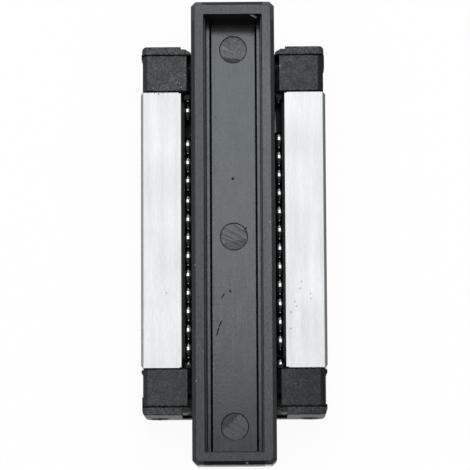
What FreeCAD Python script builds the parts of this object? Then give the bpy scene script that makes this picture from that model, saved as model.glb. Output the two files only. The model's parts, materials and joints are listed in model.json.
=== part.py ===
"""A miniature linear guide carriage on the plastic rail that holds its balls in until it is fitted.

The carriage lies on its mounting face, so the underside is up, as such a carriage is put down on a bench.
X runs across, Y runs along the rail and Z points up from the mounting face. The origin is the middle of
that face. "Front" is the end at -Y, "rear" the end at +Y, "left" is -X and "right" is +X. Millimetres.
"""
import FreeCAD, Part
import math
import os

Vector = FreeCAD.Vector

# Heights
roof_thickness = 3.5          # mounting face to the rail's top
carriage_ground_gap = 2.0     # the carriage's underside to the rail's underside

# Holding rail
rail_width = 9.0
rail_height = 6.5
rail_length = 50.0
rail_rest_shift = -0.4        # where the rail's middle stands along Y
rail_edge_chamfer = 0.43
rail_corner_chamfer = 0.5
rail_end_wall = 1.4
rail_mouth_wall = 1.33        # wall thickness at the pocket's mouth
rail_top_wall = 1.1           # thickness left over the pocket
pocket_mouth_draft = 0.08     # how far the wall leans in, from the mouth down to a narrow step
pocket_step_depth = 1.6
pocket_step = 0.08            # that step's width
pocket_wall_draft = 0.11      # from the step down to the ledge beside the ball grooves
pocket_ledge_depth = 4.4
pocket_ledge = 0.3            # that ledge's width
pocket_floor_draft = 0.24
pocket_end_draft = 0.1
ejector_mark_diameter = 2.95
ejector_mark_depth = 0.06
ejector_mark_pitch = 20.7
ejector_mark_count = 3

# Balls and their circuits
ball_diameter = 2.0
ball_outboard = 0.45          # how far the loaded row's centres lie outside the rail's side
ball_row_drop = 2.2           # from the rail's top to the loaded row
ball_gap = 0.006              # between neighbours
least_open_gap = 1.2          # room that the last ball has to leave in its circuit
raceway_conformity = 0.52     # raceway radius as a share of the ball diameter
raceway_play = 0.015
groove_clearance = 0.08       # holding rail's groove round the balls
return_pitch = 3.05           # loaded row to return bore
return_bore_play = 0.1
turn_play = 0.06
first_ball_left = 9.35        # where, along Y, the train starts after its open gap
first_ball_right = 9.94
loose_after_left = 3          # the ball in the loaded row that has some room behind it
loose_after_right = 12
loose_room_left = 0.21
loose_room_right = 0.55
slack_left = 0.52             # further open room, in the return bore
slack_right = 0.98

# Carriage block
block_length = 29.9
leg_outer_wall = 0.9          # steel outside the return bore
leg_relief = 0.75             # from the loaded row out to the leg's inner wall
channel_side_gap = 0.2
channel_top_gap = 0.3
block_edge_chamfer = 0.25
block_corner_chamfer = 0.25
leg_inner_chamfer = 0.08
leg_corner_chamfer = 0.2      # where a leg's inner wall meets the block's ends
mount_pitch_x = 15.0
mount_pitch_y = 16.0
mount_hole_diameter = 2.5     # minor diameter of an M3 thread
mount_hole_cover = 0.85       # steel between the hole's tip and the return bore
mount_hole_countersink = 0.25
drill_point_angle = 118.0

# Ball retainers, a strip on each leg's inner wall
retainer_top_land = 0.12      # the strip's flat edge, at the leg's underside
retainer_reach = 0.42         # from the leg's inner wall to the slot over the balls
retainer_lip_edge = 0.18      # thickness at that slot
retainer_ball_gap = 0.12
retainer_set_in = 0.12        # below the leg's underside
retainer_end_land = 0.35
retainer_slot_radius = 0.35
retainer_rail_gap = 0.2
retainer_tab_length = 0.7
retainer_tab_height = 0.3
retainer_tab_width = 0.22
retainer_tab_drop = 0.35      # below the strip's flat edge

# End caps
cap_end_wall = 1.5            # plastic beyond the ball turn
cap_side_inset = 0.2          # narrower than the block on each side
cap_underside_inset = 0.12
cap_mounting_inset = 0.25     # keeps the mounting face clear of the cap
cap_underside_chamfer = 0.5
cap_top_chamfer = 0.9
cap_rail_gap = 0.15
cap_mouth_relief = 0.55       # from the rail's side to the cap's underside edge
cap_mouth_slope = 0.6         # height of the sloped side of that relief
cap_turn_cover = 0.15         # plastic between the relief and the ball turn
cap_joint_width = 0.13        # the open joint at the block, round the cap's edge
cap_joint_depth = 0.35
cap_lug_length = 0.75         # the front cap's lugs beside the block
cap_lug_lead = 0.3
cap_lug_height = 5.0
seat_play = 0.05              # round the turn guides and the retainer tabs

# Turn guides, the half round pieces inside each ball turn
guide_flange = 0.29

# End seals
seal_thickness = 0.98         # at the underside
seal_draft = 0.08             # how much thicker it is at the mounting side
seal_side_inset = 0.13
seal_lip_gap = 0.08
seal_band_width = 1.17        # recessed band round the rail
seal_band_depth = 0.27
seal_lip_width = 0.6          # the lip's bevel
seal_lip_drop = 0.38
seal_edge_radius = 0.1
seal_corner_radius = 0.4
seal_joint_width = 0.12       # the open joint at the cap, round the seal's edge
seal_joint_depth = 0.3
short_hook_length = 0.2       # past the joint, on the left side of the rear seal
long_hook_length = 1.1        # on its right side
short_hook_drop = 0.5         # from the cap's underside to the hook
long_hook_drop = 1.6
hook_height = 3.0
hook_thickness = 0.16
hook_root = 0.5               # how deep a hook's root stands in the seal, from its side
hook_grip = 0.35              # how far that root goes along the seal

# Cap screws, cross recessed
screw_inset = 1.8             # from the block's side
screw_z = 2.0
screw_diameter = 1.6
screw_length_in_block = 3.0
screw_hole_extra = 0.5
thread_play = 0.015
screw_clearance = 0.1
screw_head_diameter = 1.9
screw_head_height = 0.65
screw_head_stand_out = 0.1    # from the seal's face
screw_cross_width = 0.35
screw_cross_length = 1.4
screw_cross_depth = 0.35

# Grease ports
port_diameter = 1.4
port_depth_in_cap = 2.0

# Worked out
ball_radius = ball_diameter / 2
rail_top = roof_thickness
assembly_height = rail_top + rail_height
block_height = assembly_height - carriage_ground_gap
row_x = rail_width / 2 + ball_outboard
row_z = rail_top + ball_row_drop
return_x = row_x + return_pitch
return_bore_radius = ball_radius + return_bore_play
turn_x = row_x + return_pitch / 2
turn_radius = return_pitch / 2
turn_bore_radius = ball_radius + turn_play
block_half = return_x + return_bore_radius + leg_outer_wall
block_end = block_length / 2
leg_wall = row_x + leg_relief
channel_half = rail_width / 2 + channel_side_gap
channel_floor = rail_top - channel_top_gap
screw_x = block_half - screw_inset
cap_length = turn_radius + turn_bore_radius + cap_end_wall
cap_end = block_end + cap_length
seal_end = cap_end + seal_thickness
cap_half = block_half - cap_side_inset
cap_low = cap_mounting_inset
cap_high = block_height - cap_underside_inset
seal_half = block_half - seal_side_inset
seal_face = seal_end + seal_draft * (cap_high - screw_z) / (cap_high - cap_low)
under_head = seal_face + screw_head_stand_out - screw_head_height
port_z = (cap_low + rail_top - cap_rail_gap) / 2
groove_radius = ball_radius + groove_clearance
retainer_low = row_z + ball_radius + retainer_ball_gap
retainer_high = block_height - retainer_set_in
past = 1.0                    # how far a cutter reaches past what it cuts
tiny = 1e-6

ends = {"front": -1, "rear": 1}
sides = {"left": -1, "right": 1}


def face_xz(points, y=0.0):
    """A flat face in the XZ plane from its corner points."""
    corners = [Vector(x, y, z) for x, z in points]
    return Part.Face(Part.makePolygon(corners + corners[:1]))


def along_y(points, y0, y1):
    """A solid with that XZ section, from y0 to y1."""
    return face_xz(points, y0).extrude(Vector(0, y1 - y0, 0))


def box(x0, x1, y0, y1, z0, z1):
    return Part.makeBox(x1 - x0, y1 - y0, z1 - z0, Vector(x0, y0, z0))


def rod_y(x, z, radius, y0, y1):
    return Part.makeCylinder(radius, y1 - y0, Vector(x, y0, z), Vector(0, 1, 0))


def mirror_x(shape):
    return shape.mirror(Vector(0, 0, 0), Vector(1, 0, 0))


def mirror_y(shape):
    return shape.mirror(Vector(0, 0, 0), Vector(0, 1, 0))


def at_side(shape, side):
    return shape if side > 0 else mirror_x(shape)


def at_end(shape, end):
    return shape if end > 0 else mirror_y(shape)


def turned_to(shape, end):
    """The same moulding at the other end, turned round and not mirrored."""
    return shape if end > 0 else shape.rotated(Vector(0, 0, 0), Vector(0, 0, 1), 180)


def save(name, solids):
    """Writes one node, which may hold several separate solids."""
    solids = [piece for shape in solids for piece in shape.Solids]
    whole = solids[0] if len(solids) == 1 else Part.makeCompound(solids)
    whole.exportStep(os.path.join("parts", name + ".step"))


def gothic_cutter():
    """The space of the right raceway: two arcs, their centres set apart, so a ball meets each at an angle."""
    radius = raceway_conformity * ball_diameter
    shift = (radius - ball_radius - raceway_play) * math.sqrt(0.5)
    centre_x = row_x - shift
    reach = block_length + 2 * past
    low = Part.makeCylinder(radius, reach, Vector(centre_x, -reach / 2, row_z + shift), Vector(0, 1, 0))
    high = Part.makeCylinder(radius, reach, Vector(centre_x, -reach / 2, row_z - shift), Vector(0, 1, 0))
    return low.common(high)


def mounting_hole(x, y):
    radius = mount_hole_diameter / 2
    mouth = radius + mount_hole_countersink
    tip = radius / math.tan(math.radians(drill_point_angle / 2))
    depth = row_z - return_bore_radius - mount_hole_cover - tip
    hole = Part.makeCylinder(radius, depth, Vector(x, y, 0))
    point = Part.makeCone(radius, 0, tip, Vector(x, y, depth))
    sink = Part.makeCone(mouth, radius, mount_hole_countersink, Vector(x, y, 0))
    return hole.fuse([point, sink])


def carriage_block():
    c = block_edge_chamfer
    k = leg_inner_chamfer
    section = [
        (block_half - c, 0), (block_half, c), (block_half, block_height - c), (block_half - c, block_height),
        (leg_wall + k, block_height), (leg_wall, block_height - k), (leg_wall, row_z),
        (channel_half, row_z), (channel_half, channel_floor),
    ]
    section += [(-x, z) for x, z in reversed(section)]
    body = along_y(section, -block_end, block_end)
    body = body.makeChamfer(block_corner_chamfer, [e for e in body.Edges if is_end_corner(e, block_half)])
    body = body.makeChamfer(leg_corner_chamfer, [e for e in body.Edges if is_end_corner(e, leg_wall)])
    cutters = []
    for side in sides.values():
        cutters.append(at_side(gothic_cutter(), side))
        cutters.append(rod_y(side * return_x, row_z, return_bore_radius, -block_end - past, block_end + past))
        for end in ends.values():
            cutters.append(mounting_hole(side * mount_pitch_x / 2, end * mount_pitch_y / 2))
            depth = screw_length_in_block + screw_hole_extra
            tapped = rod_y(screw_x, screw_z, screw_diameter / 2, block_end - depth, block_end + past)
            cutters.append(at_end(at_side(tapped, side), end))
    return body.cut(cutters)


def is_end_corner(edge, x):
    """An upright edge at the block's ends, that far out on either side."""
    middle = edge.CenterOfMass
    return abs(abs(middle.x) - x) < tiny and abs(abs(middle.y) - block_end) < tiny


def ball_retainer():
    """The right strip: a wedge on the leg's wall that leaves a round-ended slot over the balls."""
    end = block_end - seat_play
    slot_edge = leg_wall - retainer_reach
    land = leg_wall - retainer_top_land
    lip = retainer_low + retainer_lip_edge
    wedge = along_y([(leg_wall, retainer_low), (leg_wall, retainer_high), (land, retainer_high),
                     (slot_edge, lip), (slot_edge, retainer_low)], -end, end)
    inner = rail_width / 2 + retainer_rail_gap
    floor = box(inner, leg_wall, -end, end, retainer_low, lip)
    slot_end = end - retainer_end_land
    slot = box(inner - past, slot_edge, -slot_end, slot_end, retainer_low - past, retainer_high)
    corners = [e for e in slot.Edges if is_upright(e) and abs(e.CenterOfMass.x - slot_edge) < tiny]
    floor = floor.cut(slot.makeFillet(retainer_slot_radius, corners))
    tab = retainer_tab(0.0)
    return wedge.fuse([floor, tab, mirror_y(tab)]).removeSplitter()


def retainer_tab(play):
    """The tongue at the strip's rear end, or with play the slot that it enters in the cap."""
    high = retainer_high - retainer_tab_drop
    return box(leg_wall - retainer_tab_width - play, leg_wall + play,
               block_end - 2 * seat_play, block_end + retainer_tab_length + play,
               high - retainer_tab_height - play, high + play)


def is_upright(edge):
    low, high = (v.Point for v in edge.Vertexes)
    return abs(low.x - high.x) + abs(low.y - high.y) < tiny


def end_outline(half, low, high):
    """The outer corners of a cap or a seal, cut at each corner, right half and left half."""
    c = cap_underside_chamfer
    t = cap_top_chamfer
    right = [(half - t, low), (half, low + t), (half, high - c), (half - c, high)]
    return right + [(-x, z) for x, z in reversed(right)]


def rail_way(gap, y0, y1):
    """The space left for the rail, open towards the underside. A rib stands in each ball groove."""
    half = rail_width / 2 + gap
    way = box(-half, half, y0, y1, rail_top - gap, assembly_height + past)
    ribs = [rod_y(side * row_x, row_z, groove_radius - gap, y0 - past, y1 + past) for side in sides.values()]
    return way.cut(ribs)


def turn_tube():
    """The half ring that a ball runs through at the rear, from the loaded row to the return bore."""
    return Part.makeTorus(turn_radius, turn_bore_radius, Vector(turn_x, block_end, row_z), Vector(0, 0, 1))


def guide_space(play):
    """The half disc of a turn guide, or with play its seat in the cap."""
    height = 2 * (turn_bore_radius + guide_flange + play)
    disc = Part.makeCylinder(turn_radius + play - seat_play, height,
                             Vector(turn_x, block_end, row_z - height / 2))
    reach = turn_radius + past
    half = box(turn_x - reach, turn_x + reach, block_end, block_end + reach, 0, assembly_height)
    return disc.common(half)


def turn_guide():
    return guide_space(0.0).cut(turn_tube())


def open_joint(depth, y0, y1):
    """The space round a cap's or a seal's edge, of that depth, where an open joint shows."""
    reach = block_half + past
    core = along_y(end_outline(cap_half - depth, cap_low + depth, cap_high - depth), y0 - past, y1 + past)
    return box(-reach, reach, y0, y1, -past, assembly_height).cut(core)


def cap_mouth():
    """The relief beside the rail in the cap's underside: sloped over the ball turns, and deep beyond them."""
    half = rail_width / 2
    foot = half + cap_rail_gap
    edge = half + cap_mouth_relief
    low = row_z + turn_bore_radius + cap_turn_cover
    section = [(foot, low), (edge, low + cap_mouth_slope), (edge, assembly_height)]
    section += [(-x, z) for x, z in reversed(section)]
    sloped = along_y(section, block_end - past, cap_end + past)
    beyond = block_end + turn_radius + turn_bore_radius + cap_turn_cover
    deep = box(-edge, edge, beyond, cap_end + past, row_z - ball_radius, assembly_height)
    return [sloped, deep]


def end_cap(has_lugs):
    """The rear cap. Lugs on its sides would stand beside the block."""
    cap = along_y(end_outline(cap_half, cap_low, cap_high), block_end, cap_end)
    if has_lugs:
        cap = cap.fuse([at_side(cap_lug(), side) for side in sides.values()])
    cutters = [rail_way(cap_rail_gap, block_end - past, cap_end + past)]
    cutters += cap_mouth()
    cutters.append(open_joint(cap_joint_depth, block_end - past, block_end + cap_joint_width))
    screw_hole = screw_diameter / 2 + screw_clearance
    for side in sides.values():
        cutters.append(at_side(turn_tube(), side))
        cutters.append(at_side(guide_space(seat_play), side))
        cutters.append(at_side(retainer_tab(seat_play), side))
        cutters.append(rod_y(side * screw_x, screw_z, screw_hole, block_end - past, cap_end + past))
    cutters.append(rod_y(0, port_z, port_diameter / 2, cap_end - port_depth_in_cap, cap_end + past))
    return cap.cut(cutters)


def cap_lug():
    """A ramp on the cap's right side that comes up to the block's own width."""
    root = cap_half - cap_side_inset
    low = (cap_low + cap_high - cap_lug_height) / 2
    end = block_end + cap_lug_length
    plan = [(root, block_end), (block_half, block_end), (block_half, end - cap_lug_lead), (cap_half, end)]
    plan.append((root, end))
    corners = [Vector(x, y, low) for x, y in plan]
    return Part.Face(Part.makePolygon(corners + corners[:1])).extrude(Vector(0, 0, cap_lug_height))


def seal_plan(z, y1):
    """The seal's outline seen from the underside, with its outer corners rounded."""
    h = seal_half
    r = seal_corner_radius
    bend = r * math.sqrt(0.5)
    left = [Vector(-h, y1 - r, z), Vector(-h + r - bend, y1 - r + bend, z), Vector(-h + r, y1, z)]
    right = [Vector(-point.x, point.y, z) for point in reversed(left)]
    start = Vector(-h, cap_end, z)
    stop = Vector(h, cap_end, z)
    return Part.Wire([
        Part.makeLine(start, left[0]), Part.Arc(*left).toShape(), Part.makeLine(left[2], right[0]),
        Part.Arc(*right).toShape(), Part.makeLine(right[2], stop), Part.makeLine(stop, start),
    ])


def seal_plate():
    """The seal without its openings: thicker towards the mounting side, with a soft edge at the underside."""
    plans = [seal_plan(cap_low, seal_end + seal_draft), seal_plan(cap_high, seal_end)]
    drafted = Part.makeLoft(plans, True, True)
    outline = end_outline(seal_half, cap_low - tiny, cap_high + tiny)
    plate = drafted.common(along_y(outline, cap_end - past, seal_end + past))
    return plate.makeFillet(seal_edge_radius, [e for e in plate.Edges if is_seal_rim(e)])


def is_seal_rim(edge):
    """The long edge between the seal's outer face and its underside."""
    return all(abs(v.Y - seal_end) < tiny and abs(v.Z - cap_high) < tiny for v in edge.Vertexes)


def end_seal():
    """The rear seal: a plate with a recessed band and a thin lip round the rail, and a hook on each side."""
    half = rail_width / 2
    outer = seal_end + seal_draft + past
    band = box(-half - seal_band_width, half + seal_band_width, seal_end - seal_band_depth, outer,
               rail_top - seal_band_width, assembly_height)
    way = rail_way(seal_lip_gap, cap_end - past, outer)
    plate = seal_plate().cut(open_joint(seal_joint_depth, cap_end - past, cap_end + seal_joint_width))
    hooks = [
        at_side(hook_arm(short_hook_length, short_hook_drop), sides["left"]),
        at_side(hook_arm(long_hook_length, long_hook_drop), sides["right"]),
    ]
    cutters = [band, way, lip_bevel()]
    screw_hole = screw_diameter / 2 + screw_clearance
    head_hole = screw_head_diameter / 2 + screw_clearance
    for side in sides.values():
        cutters.append(rod_y(side * screw_x, screw_z, screw_hole, cap_end - past, outer))
        cutters.append(rod_y(side * screw_x, screw_z, head_hole, under_head, outer))
    cutters.append(rod_y(0, port_z, port_diameter / 2, cap_end - past, outer))
    return plate.fuse(hooks).cut(cutters)


def lip_bevel():
    """The wedge that thins the lip towards the rail on its outer side."""
    y1 = seal_end - seal_band_depth
    half = rail_width / 2 + seal_lip_gap
    low = rail_top - seal_lip_gap
    high = assembly_height + past
    near = Part.makePolygon([Vector(x, y1 - seal_lip_drop, z) for x, z in rectangle(half, low, high)])
    wide = rectangle(half + seal_lip_width, low - seal_lip_width, high)
    far = Part.makePolygon([Vector(x, y1, z) for x, z in wide])
    return Part.makeLoft([near, far], True, True)


def rectangle(half, low, high):
    corners = [(-half, low), (half, low), (half, high), (-half, high)]
    return corners + corners[:1]


def hook_arm(length, drop):
    """The right arm of the seal that grips the cap's side."""
    high = cap_high - cap_underside_chamfer - drop
    low = high - hook_height
    outside = cap_half + hook_thickness
    arm = box(cap_half, outside, cap_end - length, cap_end + seal_joint_width, low, high)
    root = box(seal_half - hook_root, outside, cap_end, cap_end + hook_grip, low, high)
    return arm.fuse(root)


def cap_screw():
    """The rear right screw."""
    tip = block_end - screw_length_in_block
    shank = rod_y(screw_x, screw_z, screw_diameter / 2 - thread_play, tip, under_head)
    head = rod_y(screw_x, screw_z, screw_head_diameter / 2, under_head, under_head + screw_head_height)
    top = under_head + screw_head_height
    w = screw_cross_width / 2
    r = screw_cross_length / 2
    cross = [
        box(screw_x - w, screw_x + w, top - screw_cross_depth, top + past, screw_z - r, screw_z + r),
        box(screw_x - r, screw_x + r, top - screw_cross_depth, top + past, screw_z - w, screw_z + w),
    ]
    return shank.fuse(head).cut(cross)


def circuit_point(s):
    """The place on the right ball circuit at path length s, from the front end of the loaded row."""
    arc = math.pi * turn_radius
    s %= 2 * block_length + 2 * arc
    if s < block_length:
        return Vector(row_x, s - block_end, row_z)
    s -= block_length
    if s < arc:
        turn = s / turn_radius
        return Vector(turn_x - turn_radius * math.cos(turn), block_end + turn_radius * math.sin(turn), row_z)
    s -= arc
    if s < block_length:
        return Vector(return_x, block_end - s, row_z)
    turn = (s - block_length) / turn_radius
    return Vector(turn_x + turn_radius * math.cos(turn), -block_end - turn_radius * math.sin(turn), row_z)


def next_ball(s):
    """The path length, going round backwards, at which the next ball just clears the one at s."""
    here = circuit_point(s)
    near, far = 0.0, 2 * ball_diameter
    while far - near > tiny:
        middle = (near + far) / 2
        if (circuit_point(s - middle) - here).Length < ball_diameter + ball_gap:
            near = middle
        else:
            far = middle
    return s - far


def ball_train(first_y, loose_after, loose_room, slack, side):
    """The balls of one circuit, as loaded ones and returning ones.

    They touch, apart from an open gap above the first one, some loose room after the ball of that number, and
    the slack, halfway along the return bore.
    """
    loaded, returning = [], []
    first = first_y + block_end
    room = 2 * block_length + 2 * math.pi * turn_radius - ball_diameter - least_open_gap
    s = first
    while first - s < room:
        centre = circuit_point(s)
        ball = at_side(Part.makeSphere(ball_radius, centre), side)
        is_loaded = centre.x < turn_x and abs(centre.y) < block_end
        (loaded if is_loaded else returning).append(ball)
        s = next_ball(s)
        if is_loaded and len(loaded) == loose_after:
            s -= loose_room
        is_halfway = centre.x == return_x and centre.y < 0 <= circuit_point(s).y
        if is_halfway:
            s -= slack
    return loaded, returning


def pocket():
    """The space moulded into the rail's underside: its walls have a step, and a ledge beside the grooves."""
    mouth = rail_width / 2 - rail_mouth_wall
    step = mouth - pocket_mouth_draft
    wall = step - pocket_step
    ledge = wall - pocket_wall_draft
    foot = ledge - pocket_ledge
    z = assembly_height
    floor = rail_top + rail_top_wall
    section = [
        (mouth, z),
        (step, z - pocket_step_depth), (wall, z - pocket_step_depth),
        (ledge, z - pocket_ledge_depth), (foot, z - pocket_ledge_depth),
        (foot - pocket_floor_draft, floor),
    ]
    section += [(-x, h) for x, h in reversed(section)]
    end = rail_length / 2 - rail_end_wall
    lengthways = along_y(section, -end, end)
    end_foot = end - pocket_end_draft
    side_view = [(-end, z), (end, z), (end_foot, floor), (-end_foot, floor)]
    corners = [Vector(-mouth - past, y, h) for y, h in side_view]
    crossways = Part.Face(Part.makePolygon(corners + corners[:1])).extrude(Vector(2 * (mouth + past), 0, 0))
    return lengthways.common(crossways)


def holding_rail():
    half = rail_width / 2
    end = rail_length / 2
    c = rail_corner_chamfer
    plan = [(half - c, -end), (half, -end + c), (half, end - c), (half - c, end)]
    plan += [(-x, y) for x, y in reversed(plan)]
    corners = [Vector(x, y, rail_top) for x, y in plan]
    rail = Part.Face(Part.makePolygon(corners + corners[:1])).extrude(Vector(0, 0, rail_height))
    rims = [e for e in rail.Edges if not is_upright(e)]
    rail = rail.makeChamfer(rail_edge_chamfer, rims)
    grooves = [rod_y(side * row_x, row_z, groove_radius, -end - past, end + past) for side in sides.values()]
    floor = rail_top + rail_top_wall
    middle = (ejector_mark_count - 1) / 2
    marks = [
        Part.makeCylinder(ejector_mark_diameter / 2, past,
                          Vector(0, (i - middle) * ejector_mark_pitch, floor - ejector_mark_depth))
        for i in range(ejector_mark_count)
    ]
    rail = rail.cut(grooves + [pocket()] + marks)
    rail.translate(Vector(0, rail_rest_shift, 0))
    return rail


def build():
    os.makedirs("parts", exist_ok=True)
    save("carriage_block", [carriage_block()])
    save("holding_rail", [holding_rail()])
    for end_name, end in ends.items():
        save(f"end_cap_{end_name}", [at_end(end_cap(end_name == "front"), end)])
        save(f"end_seal_{end_name}", [turned_to(end_seal(), end)])
        for side_name, side in sides.items():
            save(f"turn_guide_{end_name}_{side_name}", [at_end(at_side(turn_guide(), side), end)])
            save(f"cap_screw_{end_name}_{side_name}", [at_end(at_side(cap_screw(), side), end)])
    first = {"left": first_ball_left, "right": first_ball_right}
    loose_after = {"left": loose_after_left, "right": loose_after_right}
    loose_room = {"left": loose_room_left, "right": loose_room_right}
    slack = {"left": slack_left, "right": slack_right}
    for side_name, side in sides.items():
        save(f"ball_retainer_{side_name}", [at_side(ball_retainer(), side)])
        train = (first[side_name], loose_after[side_name], loose_room[side_name], slack[side_name])
        loaded, returning = ball_train(*train, side)
        save(f"loaded_balls_{side_name}", loaded)
        save(f"return_balls_{side_name}", returning)


build()
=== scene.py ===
"""Looks of a miniature linear guide carriage, underside up, with its plastic holding rail in the channel."""
import json
import math
import random
from collections import namedtuple

import bmesh
import bpy
from mathutils import Matrix, Vector


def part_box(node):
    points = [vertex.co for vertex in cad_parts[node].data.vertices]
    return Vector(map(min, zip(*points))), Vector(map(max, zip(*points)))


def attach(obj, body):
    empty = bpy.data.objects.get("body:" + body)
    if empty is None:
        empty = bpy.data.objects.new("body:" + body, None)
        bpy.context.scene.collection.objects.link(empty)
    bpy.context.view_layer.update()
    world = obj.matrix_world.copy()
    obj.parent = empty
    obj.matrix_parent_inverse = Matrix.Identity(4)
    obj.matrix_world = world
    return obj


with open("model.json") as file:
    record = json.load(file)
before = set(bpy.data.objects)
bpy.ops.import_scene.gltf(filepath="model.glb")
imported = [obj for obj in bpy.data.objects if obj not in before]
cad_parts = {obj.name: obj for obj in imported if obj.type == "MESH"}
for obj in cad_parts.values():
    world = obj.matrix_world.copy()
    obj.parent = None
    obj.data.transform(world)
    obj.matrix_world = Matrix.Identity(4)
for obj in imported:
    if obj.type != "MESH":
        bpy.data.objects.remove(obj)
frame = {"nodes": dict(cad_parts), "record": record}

nodes = frame["nodes"]
mounts = {mount["name"]: mount for mount in frame["record"]["mounts"]}
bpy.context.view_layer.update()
mm = 0.001

# Camera, in metres and degrees, at the photograph's place over the object
camera_place = (0.0026775, -0.036797, 0.297193)
camera_turn = (7.122, 0.539, -0.298)
camera_lens = 207.25
sensor_width = 36.0
nearest_seen = 0.01

# Light: a soft lamp above and behind, whose near edge stands just behind the vertical, a dim one further back
# and a pale room
key_size = (0.42, 0.70)
key_place = (-0.01, 0.36, 0.77)
key_radiance = 4.8
back_size = (1.2, 0.5)
back_place = (0.0, 1.1, 0.42)
back_radiance = 1.2
lamp_colour = (0.95, 0.985, 1.0)
room_level = 0.5
room_reflected_level = 0.10
room_seen_level = 1.0
floor_half = 3.0
floor_colour = (0.9, 0.9, 0.9)
floor_glow_share = 0.94

# Heights of the faces seen from above, in millimetres
steel_face = 8.0
cap_face = 7.88
rail_rim = 10.0
pocket_floor = 4.6
pocket_ledge = 5.6
pocket_step = 8.4

# Where the balls run and where the end caps meet their neighbours, in millimetres
ball_row = (4.95, 5.7)
raceway_radius = 1.12
block_joint = 14.95
seal_joint = 19.0
joint_width = 0.14

# Where the outer chamfers, with their painted shade, begin: the block's across and in height, the end caps'
# on the left and the right
block_chamfer = (9.66, 7.68)
cap_chamfer_left = -9.26
cap_chamfer_right = 9.16

# Where the painted shade on the end caps and seals grows towards the right
darker_right = (3.0, 8.0)

# Where the front seal's lip and the retainers' ends begin, and the edges of the holding rail and its pocket
seal_lip = 5.6
retainer_end = 13.7
rail_half_width = 4.5
rail_edge = 4.1
pocket_side = 3.25
pocket_front_edge = (-24.09, -23.99)
pocket_rear_wall = 22.45

# The lip along each leg's inner edge, in millimetres: how far it reaches over the ball retainer, by side
lip_root = 5.78
lip_widths = {-1: 0.11, 1: 0.20}
lip_heights = (7.886, steel_face)
lip_end = 14.86

# Threads of the mounting holes and marks of the ejector pins, in millimetres, and how their grain lies
thread_pitch = 0.5
thread_depth = 2.6
mark_radius = 1.475
mark_pitch = 20.7
mark_slant = math.radians(30)
mark_stretch = 0.12

# The wear of each ejector mark from front to rear: its grain, its scraped part and how much it shines
Wear = namedtuple("Wear", "fineness depth towards reach strength shine")
mark_wear = [
    Wear(fineness=3.0, depth=0.08, towards=(-0.7, 0.7), reach=0.6, strength=0.5, shine=0.25),
    Wear(fineness=2.6, depth=0.75, towards=(0.2, -0.98), reach=0.45, strength=0.45, shine=0.05),
    Wear(fineness=7.0, depth=0.65, towards=(-0.1, -1.0), reach=0.92, strength=0.75, shine=0.1),
]

# Reflection of the caps and seals where nothing darkens them, and of their darkest parts, their dirt and
# painted shade
undarkened_shine = 0.5
dark_shine = 0.06

# Values of a noise between which a pattern goes from one tone to the other
soft = (0.3, 0.7)
firm = (0.35, 0.65)
crisp = (0.4, 0.6)


def feed(tree, socket, value):
    """Links another node's output to the socket, or sets the socket to a value."""
    if isinstance(value, bpy.types.NodeSocket):
        tree.links.new(value, socket)
    else:
        socket.default_value = value


def math_node(tree, operation, *values):
    """The result of a math node on the values."""
    node = tree.nodes.new("ShaderNodeMath")
    node.operation = operation
    for socket, value in zip(node.inputs, values):
        feed(tree, socket, value)
    return node.outputs[0]


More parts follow.
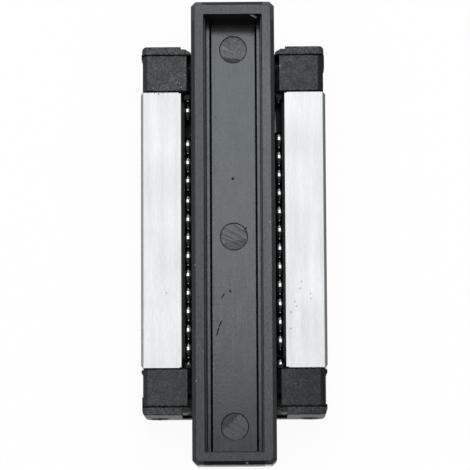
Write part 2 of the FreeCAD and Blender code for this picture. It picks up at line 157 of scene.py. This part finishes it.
class Surface:
    """One procedural material, built round a Principled shader. Its places and lengths are in millimetres.

    Beside and endwards are the distances from the middle, across the rail and along it.
    """

    def __init__(self, name):
        self.material = bpy.data.materials.new(name)
        self.material.use_nodes = True
        self.tree = self.material.node_tree
        place = self.add("ShaderNodeTexCoord").outputs["Object"]
        self.place = self.vector("SCALE", place, scale=1 / mm)
        parts = self.add("ShaderNodeSeparateXYZ", Vector=self.place).outputs
        self.x, self.y, self.z = parts["X"], parts["Y"], parts["Z"]
        self.beside = self.math("ABSOLUTE", self.x)
        self.endwards = self.math("ABSOLUTE", self.y)

    def add(self, kind, **inputs):
        """A new node, with its inputs linked or set by name."""
        node = self.tree.nodes.new(kind)
        for socket, value in inputs.items():
            feed(self.tree, node.inputs[socket], value)
        return node

    def math(self, operation, *values):
        return math_node(self.tree, operation, *values)

    def chain(self, operation, values):
        """The values joined one after another by the operation."""
        result, *others = values
        for value in others:
            result = self.math(operation, result, value)
        return result

    def total(self, *values):
        return self.chain("ADD", values)

    def product(self, *values):
        return self.chain("MULTIPLY", values)

    def largest(self, *values):
        return self.chain("MAXIMUM", values)

    def blend(self, first, share, second):
        """The given share of the first pattern and the rest of the second."""
        return self.total(self.product(first, share), self.product(second, 1 - share))

    def hypotenuse(self, first, second):
        """The length of the offset that has the two as its parts."""
        return self.math("SQRT", self.total(self.product(first, first), self.product(second, second)))

    def vector(self, operation, *values, scale=None):
        node = self.tree.nodes.new("ShaderNodeVectorMath")
        node.operation = operation
        for socket, value in zip(node.inputs, values):
            feed(self.tree, socket, value)
        if scale is not None:
            node.inputs["Scale"].default_value = scale
        return node.outputs["Value" if operation in ("DISTANCE", "LENGTH", "DOT_PRODUCT") else "Vector"]

    def noise(self, size, stretch=(1, 1, 1), detail=2.0, shift=0.0):
        """Noise with spots of about the given size, drawn out along each axis by the stretch."""
        scale = [1 / (size * s) for s in stretch]
        place = self.vector("MULTIPLY_ADD", self.place, scale, (shift, shift, shift))
        return self.add("ShaderNodeTexNoise", Vector=place, Scale=1.0, Detail=detail).outputs["Fac"]

    def ramp(self, value, low, high, to_low=0.0, to_high=1.0):
        """A number that goes evenly from to_low, where the value is low, to to_high, where it is high."""
        node = self.add("ShaderNodeMapRange", Value=value)
        for socket, number in zip(("From Min", "From Max", "To Min", "To Max"), (low, high, to_low, to_high)):
            node.inputs[socket].default_value = number
        return node.outputs["Result"]

    def by_side(self, place, below, above):
        """The one number where the place is below the middle and the other where it is above."""
        return self.ramp(place, -1.0, 1.0, below, above)

    def between(self, value, low, high, softness=0.02):
        """One where the value lies between the limits, with a soft edge outside them."""
        return self.product(self.ramp(value, low - softness, low), self.ramp(value, high + softness, high))

    def mix(self, factor, first, second):
        node = self.tree.nodes.new("ShaderNodeMix")
        node.data_type = "RGBA"
        colour = {s.name: s for s in node.inputs if s.type == "RGBA"}
        feed(self.tree, node.inputs["Factor"], factor)
        feed(self.tree, colour["A"], first)
        feed(self.tree, colour["B"], second)
        return next(s for s in node.outputs if s.type == "RGBA")

    def spots(self, dots, softness=0.6):
        """One on the given dots and nought elsewhere. A dot is its place and its radius."""
        masks = []
        for *place, radius in dots:
            away = self.vector("DISTANCE", self.place, place)
            masks.append(self.ramp(away, radius, radius * softness))
        return self.largest(*masks)

    def stroke(self, start, end, width):
        """One along the straight line from start to end, seen from above."""
        start, end = Vector(start), Vector(end)
        along = (end - start).normalized()
        half = (end - start).length / 2
        offset = self.vector("SUBTRACT", self.place, (*(start + end) / 2, 0))
        run = self.math("ABSOLUTE", self.vector("DOT_PRODUCT", offset, (*along, 0)))
        side = self.math("ABSOLUTE", self.vector("DOT_PRODUCT", offset, (-along.y, along.x, 0)))
        return self.product(self.ramp(run, half, half * 0.7), self.ramp(side, width / 2, width / 8))

    def far_from_row(self):
        """The distance from the nearer loaded ball row, seen along the rail."""
        row_x, row_z = ball_row
        across = self.math("SUBTRACT", self.beside, row_x)
        above = self.math("SUBTRACT", self.z, row_z)
        return self.hypotenuse(across, above)

    def past_joint(self, joint):
        """How far beyond a joint towards the nearer end, uneven as the edge of the painted shade in it."""
        away = self.math("SUBTRACT", self.endwards, joint)
        return self.total(away, self.ramp(self.noise(0.35, detail=3.0), *soft, -0.05, 0.05))

    def bump(self, height, depth, below=None):
        """Surface relief of the given depth in millimetres, on top of any relief below it."""
        node = self.add("ShaderNodeBump", Height=height, Strength=1.0, Distance=depth * mm)
        if below is not None:
            feed(self.tree, node.inputs["Normal"], below)
        return node.outputs["Normal"]

    def finish(self, **inputs):
        """The material, with the shader's inputs linked or set. Underscores stand for spaces in names."""
        shader = self.tree.nodes["Principled BSDF"]
        for name, value in inputs.items():
            feed(self.tree, shader.inputs[name.replace("_", " ")], value)
        return self.material


def grey(level, warmth=0.0):
    """A near neutral colour: warmth above nought is redder, below it bluer."""
    return (level * (1 + warmth), level, level * (1 - warmth), 1.0)


black = grey(0.003)


def thread_relief(steel):
    """The flanks of the threads in the mounting holes, as a height, and a mask of the holes' walls."""
    holes = mounts["mounting_holes"]["dims"]
    across = steel.math("SUBTRACT", steel.beside, holes["spacing_x_mm"] / 2)
    along = steel.math("SUBTRACT", steel.endwards, holes["spacing_y_mm"] / 2)
    hand = steel.product(steel.math("SIGN", steel.x), steel.math("SIGN", steel.y))
    turns = steel.math("DIVIDE", steel.product(steel.math("ARCTAN2", along, across), hand), 2 * math.pi)
    flank = steel.math("PINGPONG", steel.total(steel.math("DIVIDE", steel.z, thread_pitch), turns), 0.5)
    inside = steel.ramp(steel.hypotenuse(across, along), holes["hole_r_mm"] + 0.05, holes["hole_r_mm"] + 0.02)
    wall = steel.product(inside, steel.ramp(steel.z, thread_depth + 0.1, thread_depth))
    return steel.product(flank, wall), wall


def leg_specks(steel):
    """Faint dark specks on the legs' ground faces and stronger nicks at the left leg's rear edge."""
    faint = [(7.10, -6.49), (8.22, -7.03), (8.27, -7.57), (7.27, -5.73), (6.55, -7.88), (6.71, -8.37),
             (6.11, -9.01), (6.10, -10.79), (-7.25, -6.88)]
    nicks = [(-8.07, 14.80, 0.13), (-8.50, 14.88, 0.08), (-7.55, 14.88, 0.08), (-9.20, 14.88, 0.07)]
    faint_mask = steel.spots([(x, y, steel_face, 0.17) for x, y in faint], softness=0.2)
    nick_mask = steel.spots([(x, y, steel_face, radius) for x, y, radius in nicks])
    return steel.largest(steel.product(faint_mask, 0.42), steel.product(nick_mask, 0.6))


def outer_chamfer_shade(steel):
    """A mask of the painted shade on the block's outer chamfers, stronger on the right."""
    side, foot = block_chamfer
    return steel.product(steel.ramp(steel.beside, side, side + 0.06), steel.ramp(steel.z, foot, foot + 0.04),
                         steel.by_side(steel.x, 0.28, 0.68))


def ground_steel():
    """Bright steel, ground lengthwise, with threads in the mounting holes and a few dark specks, and painted
    shade towards the rear, in the holes, in the raceways and on the outer chamfers.
    """
    steel = Surface("ground_steel")
    streaks = steel.noise(0.12, stretch=(1, 7, 1), detail=3.0)
    bands = steel.noise(0.9, stretch=(1, 12, 1), shift=7.0)
    clouds = steel.noise(6.0, detail=1.0, shift=3.0)
    relief, wall = thread_relief(steel)
    # Painted shade that darkens the steel evenly towards the rear end
    rear_shade = steel.ramp(steel.y, -block_joint, block_joint, 0.0, 0.12)
    # Painted shade in the raceways along the loaded ball rows
    raceway_shade = steel.ramp(steel.far_from_row(), raceway_radius + 0.02, raceway_radius)

    dim, bright = grey(0.74), grey(0.98)
    colour = steel.mix(steel.ramp(steel.blend(streaks, 0.6, bands), *soft), dim, bright)
    colour = steel.mix(rear_shade, colour, grey(0.25))
    colour = steel.mix(leg_specks(steel), colour, grey(0.12))
    colour = steel.mix(outer_chamfer_shade(steel), colour, grey(0.06))
    # Painted shade on the walls of the mounting holes
    colour = steel.mix(steel.product(wall, 0.5), colour, grey(0.3))
    colour = steel.mix(raceway_shade, colour, grey(0.02))
    roughness = steel.ramp(steel.blend(streaks, 0.5, clouds), *soft, 0.55, 0.62)
    normal = steel.bump(relief, 0.3, below=steel.bump(streaks, 0.0025))
    return steel.finish(Metallic=1.0, Base_Color=colour, Roughness=roughness, Normal=normal)


def mark_centres():
    """The places of the ejector pins' marks along the holding rail, in millimetres."""
    low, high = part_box("holding_rail")
    middle = (low.y + high.y) / 2 / mm
    first = -(len(mark_wear) - 1) / 2
    return [(0.0, middle + (first + i) * mark_pitch) for i in range(len(mark_wear))]


def ejector_marks(rail, on_floor):
    """Each pin's ring, the grain that its end left, the scraped part of its mark, and how much it shines."""
    slanted = rail.add("ShaderNodeVectorRotate", Vector=rail.place, Angle=mark_slant)
    slanted.rotation_type = "Z_AXIS"
    patches = rail.ramp(rail.noise(1.3), *crisp, 0.5, 1.0)
    waver = rail.ramp(rail.noise(0.5), *soft, -0.12, 0.12)
    rings, grain, scraped, polish = [], [], [], []
    for (x, y), wear in zip(mark_centres(), mark_wear):
        offset = rail.vector("MULTIPLY", rail.vector("SUBTRACT", rail.place, (x, y, 0)), (1, 1, 0))
        away = rail.vector("LENGTH", offset)
        gap = rail.math("ABSOLUTE", rail.math("SUBTRACT", away, mark_radius))
        disc = rail.ramp(away, mark_radius, mark_radius - 0.05)
        rings.append(rail.product(rail.ramp(gap, 0.055, 0.015), patches))

        scale = (mark_stretch * wear.fineness, wear.fineness, 1.0)
        place = rail.vector("MULTIPLY", slanted.outputs["Vector"], scale)
        streaks = rail.add("ShaderNodeTexNoise", Vector=place, Scale=1.0, Detail=3.0).outputs["Fac"]
        grain.append(rail.product(rail.ramp(streaks, 0.42, 0.62), disc, wear.depth))

        edge = rail.total(rail.vector("DOT_PRODUCT", offset, (*wear.towards, 0)), waver)
        part = rail.ramp(edge, wear.reach - 0.04, wear.reach + 0.04)
        scraped.append(rail.product(part, disc, wear.strength))
        polish.append(rail.product(disc, wear.shine))
    return [rail.product(rail.largest(*masks), on_floor) for masks in (rings, grain, scraped, polish)]


def pocket_dirt(rail, on_floor):
    """A dark dot, faint specks and a few short scratches on the pocket's floor."""
    faint = [(-0.38, 17.34), (-0.32, 12.17), (0.28, 9.66), (0.58, 9.19), (-0.28, 7.64), (-1.94, 12.8),
             (-0.04, -15.85), (0.12, -14.96)]
    scratches = [
        ((1.12, 0.28), (1.43, 0.66)),
        ((-1.03, -6.55), (-1.42, -7.17)),
        ((-0.55, -6.21), (-0.30, -6.55)),
        ((-1.33, -9.49), (-1.70, -10.33)),
        ((-1.70, -10.33), (-1.94, -11.24)),
    ]
    specks = rail.product(rail.spots([(x, y, pocket_floor, 0.13) for x, y in faint]), 0.25)
    dot = rail.spots([(-0.08, 5.98, pocket_floor, 0.19)])
    lines = [rail.stroke(start, end, width=0.22) for start, end in scratches]
    return rail.product(rail.largest(specks, dot, *lines), on_floor)


def pale_nicks(rail):
    """Small pale nicks on the holding rail's edges."""
    return rail.spots([
        (-4.06, -16.5, rail_rim, 0.08),
        (1.31, -25.2, 9.75, 0.16),
        (-3.0, 24.2, rail_rim, 0.06),
        (-4.12, -4.1, 9.95, 0.09),
        (3.92, 0.5, rail_rim, 0.07),
    ])


def pocket_walls(rail):
    """The upright walls of the pocket, between its floor, its ledge, its step and its rim, where painted
    shade lies.
    """
    margin = 0.03
    heights = [(pocket_floor + margin, pocket_ledge - margin), (pocket_ledge + margin, pocket_step - margin),
               (pocket_step + margin, rail_rim - 2 * margin)]
    inside = rail.ramp(rail.beside, pocket_side + 0.05, pocket_side)
    return rail.product(inside, rail.largest(*[rail.between(rail.z, low, high) for low, high in heights]))


def rail_shine(rail, dull, mottle, polish):
    """How much the holding rail's plastic reflects: speckled, and blotchy on the frame round the pocket."""
    on_frame = rail.ramp(rail.z, rail_rim - 0.04, rail_rim - 0.02)
    speckle = rail.ramp(rail.noise(0.17, stretch=(1, 1.8, 1), shift=2.0), *soft, -1.0, 1.0)
    depth = rail.total(rail.ramp(rail.y, -14.0, 0.0, 0.2, 0.1), rail.product(on_frame, 0.09))
    blotches = rail.product(rail.ramp(mottle, *firm, -0.08, 0.08), on_frame)
    uneven = rail.total(rail.product(speckle, depth), 1.0, blotches, polish)
    return rail.product(rail.ramp(dull, 0.0, 1.0, 0.46, 0.02), uneven)


def rail_roughness(rail, tone):
    """Satin, smoother in the pocket and on the right of the frame, but for its rear end."""
    in_pocket = rail.ramp(rail.z, pocket_ledge + 0.1, pocket_ledge + 0.02)
    right_frame = rail.product(rail.ramp(rail.x, 2.8, 3.4), rail.ramp(rail.y, 24.0, 14.0))
    uneven = rail.ramp(tone, *firm, -0.04, 0.04)
    return rail.total(0.345, rail.product(right_frame, -0.09), rail.product(in_pocket, -0.16), uneven)


def rail_plastic():
    """Dark satin plastic, with the ejector pins' marks and some dirt on the floor of the pocket, painted
    shade on the pocket's walls and front edge and painted light on its rear wall.
    """
    rail = Surface("rail_plastic")
    flow = rail.noise(0.35, stretch=(1, 14, 1), detail=3.0)
    mottle = rail.noise(0.8, stretch=(1, 2, 1), detail=4.0, shift=5.0)
    fine = rail.noise(0.14, detail=3.0)
    tone = rail.blend(flow, 0.4, mottle)
    on_floor = rail.ramp(rail.z, pocket_floor + 0.1, pocket_floor + 0.02)
    rings, grain, scraped, polish = ejector_marks(rail, on_floor)
    walls = pocket_walls(rail)
    # Painted light: the pocket's rear wall, which faces forward, is painted lighter
    rear_wall = rail.product(rail.ramp(rail.y, pocket_rear_wall, pocket_rear_wall + 0.15),
                             rail.ramp(rail.z, rail_rim - 0.05, rail_rim - 0.1))
    # Painted shade: a thin dark line just inside the pocket's front edge
    front_edge = rail.product(rail.between(rail.y, *pocket_front_edge),
                              rail.ramp(rail.beside, pocket_side - 0.05, pocket_side - 0.1))
    # Dark marks and dirt, together with the painted shade at the front edge
    dark = rail.largest(rail.product(rings, 0.5), rail.product(grain, 0.35), rail.product(scraped, 0.9),
                        rail.product(front_edge, 0.7), pocket_dirt(rail, on_floor))

    darker, lighter, deep_black = (0.012, 0.014, 0.0155, 1), (0.021, 0.0235, 0.026, 1), grey(0.002)
    colour = rail.mix(rail.ramp(tone, *firm), darker, lighter)
    colour = rail.mix(rail.product(rear_wall, 0.8), colour, grey(0.05))
    colour = rail.mix(dark, colour, deep_black)
    colour = rail.mix(rail.product(pale_nicks(rail), 0.7), colour, grey(0.45))
    # Painted shade on the pocket's upright walls
    colour = rail.mix(rail.product(walls, 0.5), colour, deep_black)

    # Painted shade: the rail's rounded outer edges reflect less, the right one more
    outer_edge = rail.product(rail.ramp(rail.beside, rail_edge, rail_edge + 0.04),
                              rail.ramp(rail.z, rail_rim - 0.03, rail_rim - 0.08),
                              rail.ramp(rail.x, -rail_half_width, rail_half_width, 0.15, 0.5))
    dull = rail.largest(rail.product(walls, 0.95), dark, outer_edge)
    front_tint, rear_tint = (1.0, 0.985, 0.985, 1), (0.905, 0.955, 1.0, 1)
    tint = rail.mix(rail.ramp(rail.y, -20.0, 10.0), front_tint, rear_tint)
    sunk = rail.product(rail.total(grain, rail.product(rings, 3.0)), -1.0)
    relief = rail.bump(fine, 0.002, below=rail.bump(tone, 0.006))
    return rail.finish(
        Base_Color=colour, Roughness=rail_roughness(rail, tone), Normal=rail.bump(sunk, 0.012, below=relief),
        Specular_IOR_Level=rail_shine(rail, dull, mottle, polish), Specular_Tint=tint)


def cap_plastic():
    """Matt black plastic with the fine texture of its mould, a few pale specks, and painted shade in the
    joints, towards the right and on the outer chamfers.
    """
    cap = Surface("cap_plastic")
    texture = cap.noise(0.22, detail=4.0)
    mottle = cap.noise(0.9, detail=3.0, shift=4.0)
    tone = cap.blend(mottle, 0.5, texture)
    pale = [(-8.64, 15.49), (-5.61, 15.57), (-5.25, 16.95), (-5.79, 16.03), (-6.06, 16.09), (5.10, 17.84)]
    dust = cap.spots([(x, y, cap_face, 0.06) for x, y in pale])

    # Painted shade in the joints at the block and at the seal
    width = cap.by_side(cap.y, joint_width, joint_width + 0.09)
    at_block = cap.ramp(cap.math("SUBTRACT", cap.past_joint(block_joint), width), 0.04, 0.0)
    at_seal = cap.product(cap.ramp(cap.math("SUBTRACT", seal_joint, cap.endwards), 0.12, 0.04),
                          cap.ramp(cap.noise(0.3, detail=3.0), 0.35, 0.6, 0.2, 0.8))
    dot = cap.spots([(-5.47, -15.62, cap_face, 0.09)])
    # Painted shade: darker towards the right, more at the front, and on the outer chamfers, the right one
    # more
    to_right = cap.product(cap.ramp(cap.x, *darker_right), cap.by_side(cap.y, 0.36, 0.18))
    chamfers = [cap.ramp(cap.x, cap_chamfer_right, cap_chamfer_right + 0.06, 0.0, 0.72),
                cap.ramp(cap.x, cap_chamfer_left, cap_chamfer_left - 0.06, 0.0, 0.2)]
    dark = cap.largest(at_block, at_seal, dot, to_right, *chamfers)

    darker, lighter = (0.006, 0.008, 0.010, 1), (0.019, 0.023, 0.026, 1)
    colour = cap.mix(cap.ramp(tone, *crisp), darker, lighter)
    colour = cap.mix(cap.product(dust, 0.8), colour, grey(0.55))
    colour = cap.mix(dark, colour, black)
    uneven = cap.ramp(cap.noise(0.2, detail=3.0, shift=9.0), *firm, 0.65, 1.35)
    return cap.finish(
        Base_Color=colour, Roughness=cap.ramp(tone, *crisp, 0.40, 0.58),
        Normal=cap.bump(texture, 0.008, below=cap.bump(mottle, 0.012)),
        Specular_IOR_Level=cap.product(cap.ramp(dark, 0.0, 1.0, undarkened_shine, dark_shine), uneven))


def seal_rubber():
    """Black rubber with a coarse grain, with painted shade in the joint at the cap, at the front lip and
    towards the right, and a painted highlight on the left lip.
    """
    seal = Surface("seal_rubber")
    grain = seal.noise(0.15, detail=4.0)
    # Painted shade in the joint at the cap, at the front lip and towards the right at the front
    at_cap = seal.ramp(seal.past_joint(seal_joint), joint_width + 0.08, joint_width + 0.02)
    in_front = seal.ramp(seal.y, 0.1 - seal_joint, -seal_joint)
    lip = seal.product(seal.ramp(seal.beside, seal_lip + 0.15, seal_lip), in_front, 0.6)
    to_right = seal.product(seal.ramp(seal.x, *darker_right, 0.0, 0.3), in_front)
    # A painted highlight: a pale spot on the left lip, which the painted shade leaves out
    lip_highlight = seal.spots([(-5.245, -19.818, 7.5, 0.22)], softness=0.7)
    dark = seal.product(seal.largest(at_cap, lip, to_right), seal.math("SUBTRACT", 1.0, lip_highlight))

    colour = seal.mix(seal.ramp(grain, *crisp), grey(0.006, -0.1), grey(0.045, -0.1))
    colour = seal.mix(dark, colour, black)
    colour = seal.mix(seal.product(lip_highlight, 0.8), colour, grey(0.13))
    return seal.finish(
        Base_Color=colour, Roughness=seal.ramp(grain, *crisp, 0.60, 0.44), Normal=seal.bump(grain, 0.02),
        Specular_IOR_Level=seal.ramp(dark, 0.0, 1.0, undarkened_shine, dark_shine))


def smooth_plastic(name, level, shine, end_shade=0.0):
    """The dark plastic of the small inner pieces, with painted shade, by the given share, where they end at
    the caps.
    """
    piece = Surface(name)
    flow = piece.noise(0.3, stretch=(1, 6, 1))
    at_end = piece.ramp(piece.endwards, retainer_end, retainer_end + 0.3, 0.0, end_shade)
    colour = piece.mix(piece.ramp(flow, *soft), grey(level * 0.8, -0.1), grey(level * 1.2, -0.1))
    colour = piece.mix(at_end, colour, black)
    return piece.finish(
        Base_Color=colour, Roughness=piece.ramp(flow, *soft, 0.38, 0.46), Normal=piece.bump(flow, 0.003),
        Specular_IOR_Level=shine)


def blackened_steel():
    """Screws with a black oxide coat that wear has thinned in patches."""
    screw = Surface("screw_steel")
    wear = screw.noise(0.25, detail=3.0)
    return screw.finish(
        Metallic=1.0, Base_Color=screw.mix(screw.ramp(wear, 0.5, 0.75), grey(0.05), grey(0.16)),
        Roughness=screw.ramp(wear, *soft, 0.32, 0.45), Normal=screw.bump(wear, 0.004))


def ball_steel():
    """Polished ball bearing steel under a thin film of oil."""
    ball = Surface("ball_steel")
    film = ball.noise(0.7)
    return ball.finish(
        Metallic=1.0, Base_Color=ball.mix(ball.ramp(film, *soft), grey(0.28), grey(0.34)),
        Roughness=ball.ramp(film, *firm, 0.08, 0.14))


def flake_shell():
    """The material of the crumb in the pocket: pale along its free edge and dark brown beyond."""
    flake = Surface("flake_shell")
    layers = flake.noise(0.12, detail=3.0)
    edge = flake.total(flake.y, flake.ramp(layers, *soft, -0.05, 0.05))
    pale = flake.product(flake.ramp(edge, 0.2, 0.14), flake.ramp(flake.x, 0.02, 0.2))
    return flake.finish(
        Base_Color=flake.mix(pale, (0.012, 0.006, 0.003, 1), (0.27, 0.23, 0.2, 1)),
        Roughness=flake.ramp(layers, *soft, 0.5, 0.7), Normal=flake.bump(layers, 0.02))


def dress_nodes():
    """Gives every CAD node its material."""
    surfaces = {
        "carriage_block": ground_steel(),
        "holding_rail": rail_plastic(),
        "end_cap": cap_plastic(),
        "end_seal": seal_rubber(),
        "turn_guide": smooth_plastic("guide_plastic", 0.02, shine=0.4),
        "ball_retainer": smooth_plastic("retainer_plastic", 0.09, shine=0.1, end_shade=0.85),
        "cap_screw": blackened_steel(),
        "loaded_balls": ball_steel(),
        "return_balls": ball_steel(),
    }
    for name, node in nodes.items():
        start = next(key for key in surfaces if name.startswith(key))
        node.data.materials.clear()
        node.data.materials.append(surfaces[start])


def new_mesh(name, build):
    """A mesh object whose faces are made by the given function."""
    shape = bmesh.new()
    build(shape)
    bmesh.ops.recalc_face_normals(shape, faces=shape.faces)
    mesh = bpy.data.meshes.new(name)
    shape.to_mesh(mesh)
    shape.free()
    piece = bpy.data.objects.new(name, mesh)
    bpy.context.scene.collection.objects.link(piece)
    return piece


def brown_crumb():
    """A thin flake of dirt that sticks to the pocket's rear wall near the mouth."""
    start, end, corner = Vector((1.82, 23.10, 9.77)), Vector((2.54, 22.78, 9.52)), Vector((2.50, 23.18, 9.82))
    along = (end - start).normalized()
    outward = along.cross(corner - start).normalized()
    across = outward.cross(along)
    length = (end - start).length
    narrow, wide, thickness = 0.12, (corner - start).dot(across), 0.09
    unevenness, end_cut, bluntness = 0.1, 0.06, 0.35
    steps, sides = 12, 10
    chance = random.Random(4)

    def build(shape):
        rings = []
        for i in range(steps + 1):
            t = i / steps
            taper = math.sin(math.pi * (end_cut + (1 - 2 * end_cut) * t)) ** bluntness
            width = (narrow + (wide - narrow) * t) * taper
            ring = []
            for j in range(sides):
                angle = 2 * math.pi * j / sides
                rough = 1 + unevenness * chance.uniform(-1, 1)
                ring.append(shape.verts.new(mm * Vector((
                    t * length,
                    width / 2 * (1 - math.cos(angle) * rough),
                    thickness / 2 * math.sin(angle) * taper,
                ))))
            rings.append(ring)
        for first, second in zip(rings, rings[1:]):
            for j in range(sides):
                k = (j + 1) % sides
                shape.faces.new((first[j], first[k], second[k], second[j]))
        shape.faces.new(rings[0])
        shape.faces.new(rings[-1])

    crumb = new_mesh("brown_crumb", build)
    crumb.rotation_euler = Matrix((along, across, outward)).transposed().to_euler()
    crumb.location = mm * start
    crumb.data.materials.append(flake_shell())
    for face in crumb.data.polygons:
        face.use_smooth = True
    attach(crumb, "rail")


def leg_lips():
    """The thin steel lip along each leg's inner edge, which hides the outer side of the ball retainer."""
    for side, width in lip_widths.items():
        near, far = sorted((side * lip_root, side * (lip_root - width)))

        def build(shape):
            corners = [shape.verts.new(mm * Vector((x, y, z)))
                       for x in (near, far) for y in (-lip_end, lip_end) for z in lip_heights]
            for face in ((0, 1, 3, 2), (4, 6, 7, 5), (0, 4, 5, 1), (2, 3, 7, 6), (0, 2, 6, 4), (1, 5, 7, 3)):
                shape.faces.new([corners[i] for i in face])

        lip = new_mesh("leg_lip_left" if side < 0 else "leg_lip_right", build)
        lip.data.materials.append(nodes["carriage_block"].data.materials[0])
        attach(lip, "carriage")


def glow_share(tree):
    """The floor's share of glow, where the camera looks straight at it, or by way of metal or glass."""
    path = tree.nodes.new("ShaderNodeLightPath")
    looked_at = 0.0
    for ray in ("Is Camera Ray", "Is Glossy Ray", "Is Transmission Ray"):
        looked_at = math_node(tree, "MAXIMUM", looked_at, path.outputs[ray])
    return math_node(tree, "MULTIPLY", looked_at, floor_glow_share)


def pale_floor():
    """The surface that the object lies on."""
    def build(shape):
        corners = [(-1, -1), (1, -1), (1, 1), (-1, 1)]
        shape.faces.new([shape.verts.new((x * floor_half, y * floor_half, 0)) for x, y in corners])

    floor = new_mesh("floor", build)
    paper = bpy.data.materials.new("pale_paper")
    paper.use_nodes = True
    tree = paper.node_tree
    tree.nodes.clear()
    matt = tree.nodes.new("ShaderNodeBsdfDiffuse")
    matt.inputs["Color"].default_value = (*floor_colour, 1)
    glow = tree.nodes.new("ShaderNodeEmission")
    blend = tree.nodes.new("ShaderNodeMixShader")
    output = tree.nodes.new("ShaderNodeOutputMaterial")
    feed(tree, blend.inputs["Fac"], glow_share(tree))
    feed(tree, blend.inputs[1], matt.outputs[0])
    feed(tree, blend.inputs[2], glow.outputs[0])
    feed(tree, output.inputs["Surface"], blend.outputs[0])
    floor.data.materials.append(paper)


def pale_room():
    """An even room: white where it is looked at, and dimmer as a light on the object."""
    world = bpy.data.worlds.new("pale_room")
    bpy.context.scene.world = world
    world.use_nodes = True
    tree = world.node_tree
    back = tree.nodes["Background"]
    back.inputs["Color"].default_value = (1, 1, 1, 1)
    path = tree.nodes.new("ShaderNodeLightPath")
    levels = {
        "Is Glossy Ray": room_reflected_level,
        "Is Transmission Ray": room_seen_level,
        "Is Camera Ray": room_seen_level,
    }
    strength = room_level
    for ray, level in levels.items():
        choice = tree.nodes.new("ShaderNodeMix")
        feed(tree, choice.inputs["Factor"], path.outputs[ray])
        feed(tree, choice.inputs["A"], strength)
        feed(tree, choice.inputs["B"], level)
        strength = choice.outputs["Result"]
    feed(tree, back.inputs["Strength"], strength)


def softbox(name, size, place, radiance):
    """A rectangular lamp that faces the object. Its power follows from its size and its face's brightness."""
    lamp = bpy.data.lights.new(name, "AREA")
    lamp.shape = "RECTANGLE"
    lamp.size, lamp.size_y = size
    lamp.energy = radiance * math.pi * size[0] * size[1]
    lamp.color = lamp_colour
    holder = bpy.data.objects.new(name, lamp)
    holder.location = place
    holder.rotation_euler = Vector(place).to_track_quat("Z", "Y").to_euler()
    bpy.context.scene.collection.objects.link(holder)


def photo_camera():
    camera = bpy.data.objects.new("camera", bpy.data.cameras.new("camera"))
    camera.data.sensor_width = sensor_width
    camera.data.lens = camera_lens
    camera.data.clip_start = nearest_seen
    camera.location = camera_place
    camera.rotation_euler = [math.radians(angle) for angle in camera_turn]
    bpy.context.scene.collection.objects.link(camera)
    bpy.context.scene.camera = camera


photo_camera()
pale_floor()
pale_room()
softbox("key_lamp", key_size, key_place, key_radiance)
softbox("back_lamp", back_size, back_place, back_radiance)
dress_nodes()
leg_lips()
brown_crumb()
bpy.context.scene.view_settings.view_transform = "Standard"
